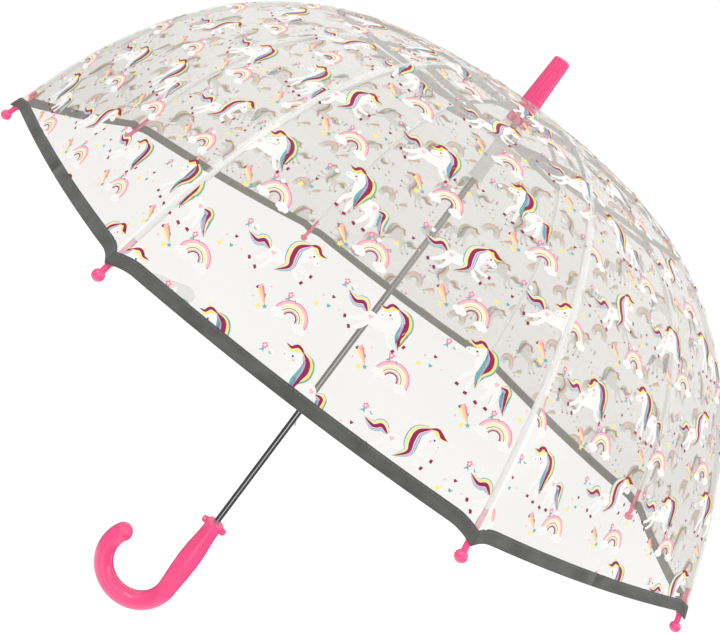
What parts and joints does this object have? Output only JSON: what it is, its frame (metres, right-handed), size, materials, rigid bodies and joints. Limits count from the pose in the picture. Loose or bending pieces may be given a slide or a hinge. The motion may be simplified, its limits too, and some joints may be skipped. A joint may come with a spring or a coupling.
{
  "type": "children's umbrella",
  "caption": "Children's dome umbrella with a clear printed film canopy, a crook handle, ball-ended ribs and a sliding runner that folds it.",
  "frame": {"origin": "the middle of the straight grip of the handle, on the shaft's axis, where a hand holds the umbrella", "axes": "+Z along the shaft towards the ferrule; the hook of the handle points to -X, midway between two ribs"},
  "size_m": [0.6826, 0.6826, 0.6689],
  "materials": {
    "steel": "bright plated steel",
    "rib_steel": "grey painted steel channel",
    "fibreglass": "white glass fibre rod, satin",
    "pink_plastic": "glossy moulded plastic",
    "white_plastic": "satin moulded plastic",
    "film": "clear soft film with a printed pattern",
    "tape": "dark grey woven binding tape",
    "print_ink": "opaque printed ink in white and bright colours"
  },
  "bodies": {
    "root": {"shaft": "steel", "ferrule": "pink_plastic", "top_notch": "pink_plastic", "notch_wire": "steel", "handle": "pink_plastic", "crown_washer": "film"},
    "runner": {"runner": "white_plastic", "runner_wire": "steel"},
    "top_catch": {"top_catch": "steel"},
    "bottom_catch": {"bottom_catch": "steel"},
    "inner_rib_1": {"inner_rib_1": "rib_steel"},
    "inner_rib_2": {"inner_rib_2": "rib_steel"},
    "inner_rib_3": {"inner_rib_3": "rib_steel"},
    "inner_rib_4": {"inner_rib_4": "rib_steel"},
    "inner_rib_5": {"inner_rib_5": "rib_steel"},
    "inner_rib_6": {"inner_rib_6": "rib_steel"},
    "inner_rib_7": {"inner_rib_7": "rib_steel"},
    "inner_rib_8": {"inner_rib_8": "rib_steel"},
    "outer_rib_1": {"outer_rib_1": "fibreglass", "rib_tip_1": "pink_plastic", "canopy_film_1": "film", "hem_tape_1": "tape"},
    "outer_rib_2": {"outer_rib_2": "fibreglass", "rib_tip_2": "pink_plastic", "canopy_film_2": "film", "hem_tape_2": "tape"},
    "outer_rib_3": {"outer_rib_3": "fibreglass", "rib_tip_3": "pink_plastic", "canopy_film_3": "film", "hem_tape_3": "tape"},
    "outer_rib_4": {"outer_rib_4": "fibreglass", "rib_tip_4": "pink_plastic", "canopy_film_4": "film", "hem_tape_4": "tape"},
    "outer_rib_5": {"outer_rib_5": "fibreglass", "rib_tip_5": "pink_plastic", "canopy_film_5": "film", "hem_tape_5": "tape"},
    "outer_rib_6": {"outer_rib_6": "fibreglass", "rib_tip_6": "pink_plastic", "canopy_film_6": "film", "hem_tape_6": "tape", "closing_strap": "film"},
    "outer_rib_7": {"outer_rib_7": "fibreglass", "rib_tip_7": "pink_plastic", "canopy_film_7": "film", "hem_tape_7": "tape"},
    "outer_rib_8": {"outer_rib_8": "fibreglass", "rib_tip_8": "pink_plastic", "canopy_film_8": "film", "hem_tape_8": "tape"},
    "stretcher_1": {"stretcher_1": "rib_steel"},
    "stretcher_2": {"stretcher_2": "rib_steel"},
    "stretcher_3": {"stretcher_3": "rib_steel"},
    "stretcher_4": {"stretcher_4": "rib_steel"},
    "stretcher_5": {"stretcher_5": "rib_steel"},
    "stretcher_6": {"stretcher_6": "rib_steel"},
    "stretcher_7": {"stretcher_7": "rib_steel"},
    "stretcher_8": {"stretcher_8": "rib_steel"}
  },
  "joints": [
    {"name": "runner_slide", "type": "slide", "parent": "root", "child": "runner", "axis": [0, 0, -1], "range_m": [0, 0.33413], "deforming": ["canopy_film_1", "canopy_film_2", "canopy_film_3", "canopy_film_4", "canopy_film_5", "canopy_film_6", "canopy_film_7", "canopy_film_8", "hem_tape_1", "hem_tape_2", "hem_tape_3", "hem_tape_4", "hem_tape_5", "hem_tape_6", "hem_tape_7", "hem_tape_8", "closing_strap"]},
    {"name": "inner_rib_hinge_1", "type": "hinge", "parent": "root", "child": "inner_rib_1", "pos_m": [0.00647, 0.00268, 0.519], "axis": [-0.3827, 0.9239, 0], "range_deg": [0, 81.48]},
    {"name": "outer_rib_bend_1", "type": "hinge", "parent": "inner_rib_1", "child": "outer_rib_1", "pos_m": [0.17106, 0.07085, 0.49641], "axis": [0.3827, -0.9239, 0], "range_deg": [0, 43.82]},
    {"name": "stretcher_hinge_1", "type": "hinge", "parent": "runner", "child": "stretcher_1", "pos_m": [0.00785, 0.00325, 0.497], "axis": [0.3827, -0.9239, 0], "range_deg": [0, 89.36]},
    {"name": "inner_rib_hinge_2", "type": "hinge", "parent": "root", "child": "inner_rib_2", "pos_m": [0.00268, 0.00647, 0.519], "axis": [-0.9239, 0.3827, 0], "range_deg": [0, 81.48]},
    {"name": "outer_rib_bend_2", "type": "hinge", "parent": "inner_rib_2", "child": "outer_rib_2", "pos_m": [0.07085, 0.17106, 0.49641], "axis": [0.9239, -0.3827, 0], "range_deg": [0, 43.82]},
    {"name": "stretcher_hinge_2", "type": "hinge", "parent": "runner", "child": "stretcher_2", "pos_m": [0.00325, 0.00785, 0.497], "axis": [0.9239, -0.3827, 0], "range_deg": [0, 89.36]},
    {"name": "inner_rib_hinge_3", "type": "hinge", "parent": "root", "child": "inner_rib_3", "pos_m": [-0.00268, 0.00647, 0.519], "axis": [-0.9239, -0.3827, 0], "range_deg": [0, 81.48]},
    {"name": "outer_rib_bend_3", "type": "hinge", "parent": "inner_rib_3", "child": "outer_rib_3", "pos_m": [-0.07085, 0.17106, 0.49641], "axis": [0.9239, 0.3827, 0], "range_deg": [0, 43.82]},
    {"name": "stretcher_hinge_3", "type": "hinge", "parent": "runner", "child": "stretcher_3", "pos_m": [-0.00325, 0.00785, 0.497], "axis": [0.9239, 0.3827, 0], "range_deg": [0, 89.36]},
    {"name": "inner_rib_hinge_4", "type": "hinge", "parent": "root", "child": "inner_rib_4", "pos_m": [-0.00647, 0.00268, 0.519], "axis": [-0.3827, -0.9239, 0], "range_deg": [0, 81.48]},
    {"name": "outer_rib_bend_4", "type": "hinge", "parent": "inner_rib_4", "child": "outer_rib_4", "pos_m": [-0.17106, 0.07085, 0.49641], "axis": [0.3827, 0.9239, 0], "range_deg": [0, 43.82]},
    {"name": "stretcher_hinge_4", "type": "hinge", "parent": "runner", "child": "stretcher_4", "pos_m": [-0.00785, 0.00325, 0.497], "axis": [0.3827, 0.9239, 0], "range_deg": [0, 89.36]},
    {"name": "inner_rib_hinge_5", "type": "hinge", "parent": "root", "child": "inner_rib_5", "pos_m": [-0.00647, -0.00268, 0.519], "axis": [0.3827, -0.9239, 0], "range_deg": [0, 81.48]},
    {"name": "outer_rib_bend_5", "type": "hinge", "parent": "inner_rib_5", "child": "outer_rib_5", "pos_m": [-0.17106, -0.07085, 0.49641], "axis": [-0.3827, 0.9239, 0], "range_deg": [0, 43.82]},
    {"name": "stretcher_hinge_5", "type": "hinge", "parent": "runner", "child": "stretcher_5", "pos_m": [-0.00785, -0.00325, 0.497], "axis": [-0.3827, 0.9239, 0], "range_deg": [0, 89.36]},
    {"name": "inner_rib_hinge_6", "type": "hinge", "parent": "root", "child": "inner_rib_6", "pos_m": [-0.00268, -0.00647, 0.519], "axis": [0.9239, -0.3827, 0], "range_deg": [0, 81.48]},
    {"name": "outer_rib_bend_6", "type": "hinge", "parent": "inner_rib_6", "child": "outer_rib_6", "pos_m": [-0.07085, -0.17106, 0.49641], "axis": [-0.9239, 0.3827, 0], "range_deg": [0, 43.82]},
    {"name": "stretcher_hinge_6", "type": "hinge", "parent": "runner", "child": "stretcher_6", "pos_m": [-0.00325, -0.00785, 0.497], "axis": [-0.9239, 0.3827, 0], "range_deg": [0, 89.36]},
    {"name": "inner_rib_hinge_7", "type": "hinge", "parent": "root", "child": "inner_rib_7", "pos_m": [0.00268, -0.00647, 0.519], "axis": [0.9239, 0.3827, 0], "range_deg": [0, 81.48]},
    {"name": "outer_rib_bend_7", "type": "hinge", "parent": "inner_rib_7", "child": "outer_rib_7", "pos_m": [0.07085, -0.17106, 0.49641], "axis": [-0.9239, -0.3827, 0], "range_deg": [0, 43.82]},
    {"name": "stretcher_hinge_7", "type": "hinge", "parent": "runner", "child": "stretcher_7", "pos_m": [0.00325, -0.00785, 0.497], "axis": [-0.9239, -0.3827, 0], "range_deg": [0, 89.36]},
    {"name": "inner_rib_hinge_8", "type": "hinge", "parent": "root", "child": "inner_rib_8", "pos_m": [0.00647, -0.00268, 0.519], "axis": [0.3827, 0.9239, 0], "range_deg": [0, 81.48]},
    {"name": "outer_rib_bend_8", "type": "hinge", "parent": "inner_rib_8", "child": "outer_rib_8", "pos_m": [0.17106, -0.07085, 0.49641], "axis": [-0.3827, -0.9239, 0], "range_deg": [0, 43.82]},
    {"name": "stretcher_hinge_8", "type": "hinge", "parent": "runner", "child": "stretcher_8", "pos_m": [0.00785, -0.00325, 0.497], "axis": [-0.3827, -0.9239, 0], "range_deg": [0, 89.36]},
    {"name": "top_catch_press", "type": "hinge", "parent": "root", "child": "top_catch", "pos_m": [0.0005, 0, 0.4366], "axis": [0, -1, 0], "range_deg": [0, 8], "stiffness_Nm_per_rad": 0.02},
    {"name": "bottom_catch_press", "type": "hinge", "parent": "root", "child": "bottom_catch", "pos_m": [0.0005, 0, 0.18477], "axis": [0, 1, 0], "range_deg": [0, 8], "stiffness_Nm_per_rad": 0.02}
  ],
  "couplings": [
    {"joint": "inner_rib_hinge_1", "follows": "runner_slide", "rad_per_m": 4.2403},
    {"joint": "outer_rib_bend_1", "follows": "runner_slide", "rad_per_m": 2.2732},
    {"joint": "stretcher_hinge_1", "follows": "runner_slide", "rad_per_m": 4.652},
    {"joint": "inner_rib_hinge_2", "follows": "runner_slide", "rad_per_m": 4.2403},
    {"joint": "outer_rib_bend_2", "follows": "runner_slide", "rad_per_m": 2.2732},
    {"joint": "stretcher_hinge_2", "follows": "runner_slide", "rad_per_m": 4.652},
    {"joint": "inner_rib_hinge_3", "follows": "runner_slide", "rad_per_m": 4.2403},
    {"joint": "outer_rib_bend_3", "follows": "runner_slide", "rad_per_m": 2.2732},
    {"joint": "stretcher_hinge_3", "follows": "runner_slide", "rad_per_m": 4.652},
    {"joint": "inner_rib_hinge_4", "follows": "runner_slide", "rad_per_m": 4.2403},
    {"joint": "outer_rib_bend_4", "follows": "runner_slide", "rad_per_m": 2.2732},
    {"joint": "stretcher_hinge_4", "follows": "runner_slide", "rad_per_m": 4.652},
    {"joint": "inner_rib_hinge_5", "follows": "runner_slide", "rad_per_m": 4.2403},
    {"joint": "outer_rib_bend_5", "follows": "runner_slide", "rad_per_m": 2.2732},
    {"joint": "stretcher_hinge_5", "follows": "runner_slide", "rad_per_m": 4.652},
    {"joint": "inner_rib_hinge_6", "follows": "runner_slide", "rad_per_m": 4.2403},
    {"joint": "outer_rib_bend_6", "follows": "runner_slide", "rad_per_m": 2.2732},
    {"joint": "stretcher_hinge_6", "follows": "runner_slide", "rad_per_m": 4.652},
    {"joint": "inner_rib_hinge_7", "follows": "runner_slide", "rad_per_m": 4.2403},
    {"joint": "outer_rib_bend_7", "follows": "runner_slide", "rad_per_m": 2.2732},
    {"joint": "stretcher_hinge_7", "follows": "runner_slide", "rad_per_m": 4.652},
    {"joint": "inner_rib_hinge_8", "follows": "runner_slide", "rad_per_m": 4.2403},
    {"joint": "outer_rib_bend_8", "follows": "runner_slide", "rad_per_m": 2.2732},
    {"joint": "stretcher_hinge_8", "follows": "runner_slide", "rad_per_m": 4.652}
  ]
}
